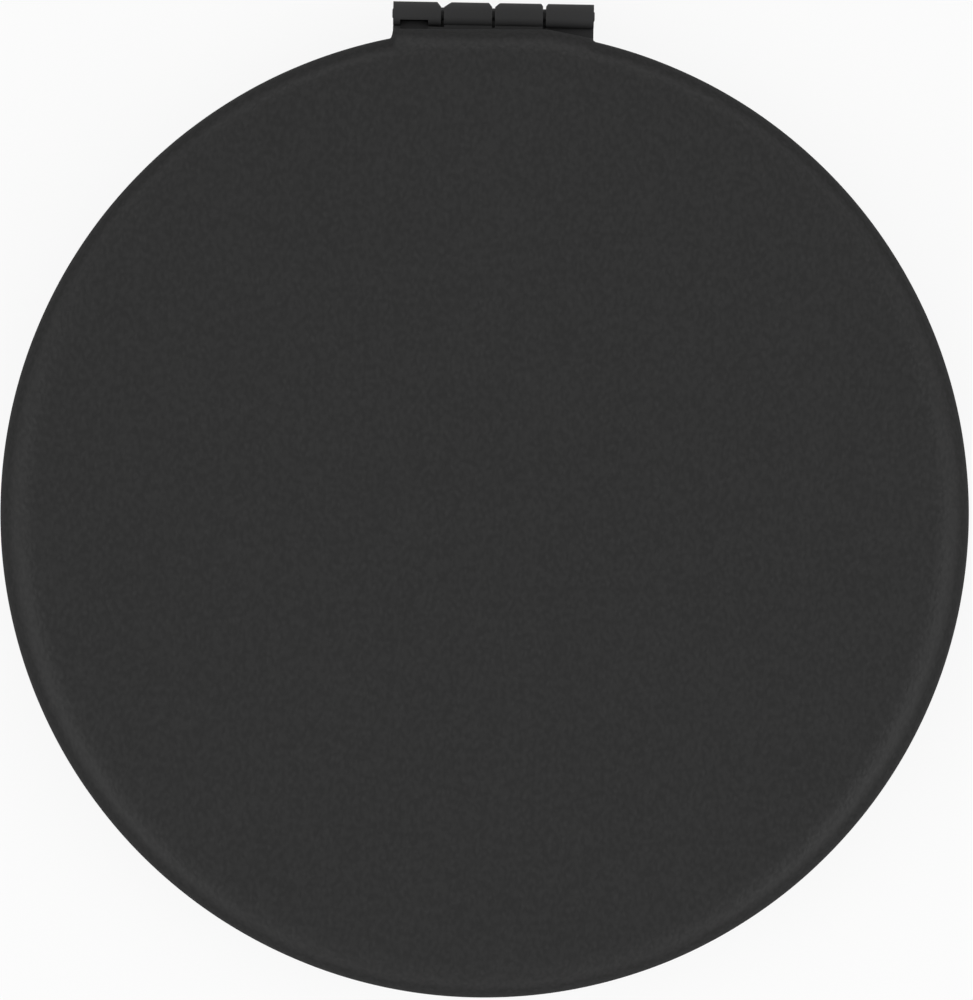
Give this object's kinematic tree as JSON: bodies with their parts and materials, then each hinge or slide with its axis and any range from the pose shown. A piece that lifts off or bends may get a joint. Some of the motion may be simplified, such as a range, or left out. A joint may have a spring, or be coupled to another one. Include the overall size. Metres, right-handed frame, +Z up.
{
  "type": "compact mirror",
  "caption": "Round folding compact mirror in dark grey leather-look cover: a flat mirror in the lid and a magnifying one in the base, on a rolled metal hinge.",
  "frame": {"origin": "middle of the base's flat outer face, on the axis of the round case", "axes": "+Z up from the base to the lid, +Y towards the hinge, +X along the hinge pin"},
  "size_m": [0.0636, 0.0653, 0.0084],
  "materials": {
    "cover_leather": "fine pebble grain, matte",
    "pad_foam": "closed cell foam",
    "shell_steel": "pressed sheet, black coated",
    "hinge_black_metal": "rolled sheet, satin black coated",
    "rivet_steel": "bare",
    "tape_foam": "double-sided foam tape",
    "mirror_glass": "back-silvered glass",
    "bezel_plastic": "satin black moulding",
    "magnet_nickel": "nickel plated"
  },
  "bodies": {
    "base": {"base_cover": "cover_leather", "base_foam_pad": "pad_foam", "base_shell": "shell_steel", "base_hinge_leaf": "hinge_black_metal", "base_hinge_rivets": "rivet_steel", "base_mirror_tape": "tape_foam", "base_mirror": "mirror_glass", "base_bezel": "bezel_plastic", "base_magnet": "magnet_nickel", "hinge_pin": "hinge_black_metal"},
    "lid": {"lid_cover": "cover_leather", "lid_foam_pad": "pad_foam", "lid_shell": "shell_steel", "lid_hinge_leaf": "hinge_black_metal", "lid_hinge_rivets": "rivet_steel", "lid_mirror_tape": "tape_foam", "lid_mirror": "mirror_glass", "lid_bezel": "bezel_plastic", "lid_magnet": "magnet_nickel"}
  },
  "joints": [
    {"name": "lid_hinge", "type": "hinge", "parent": "base", "child": "lid", "pos_m": [0, 0.03281, 0.00419], "axis": [-1, 0, 0], "range_deg": [0, 180]}
  ]
}
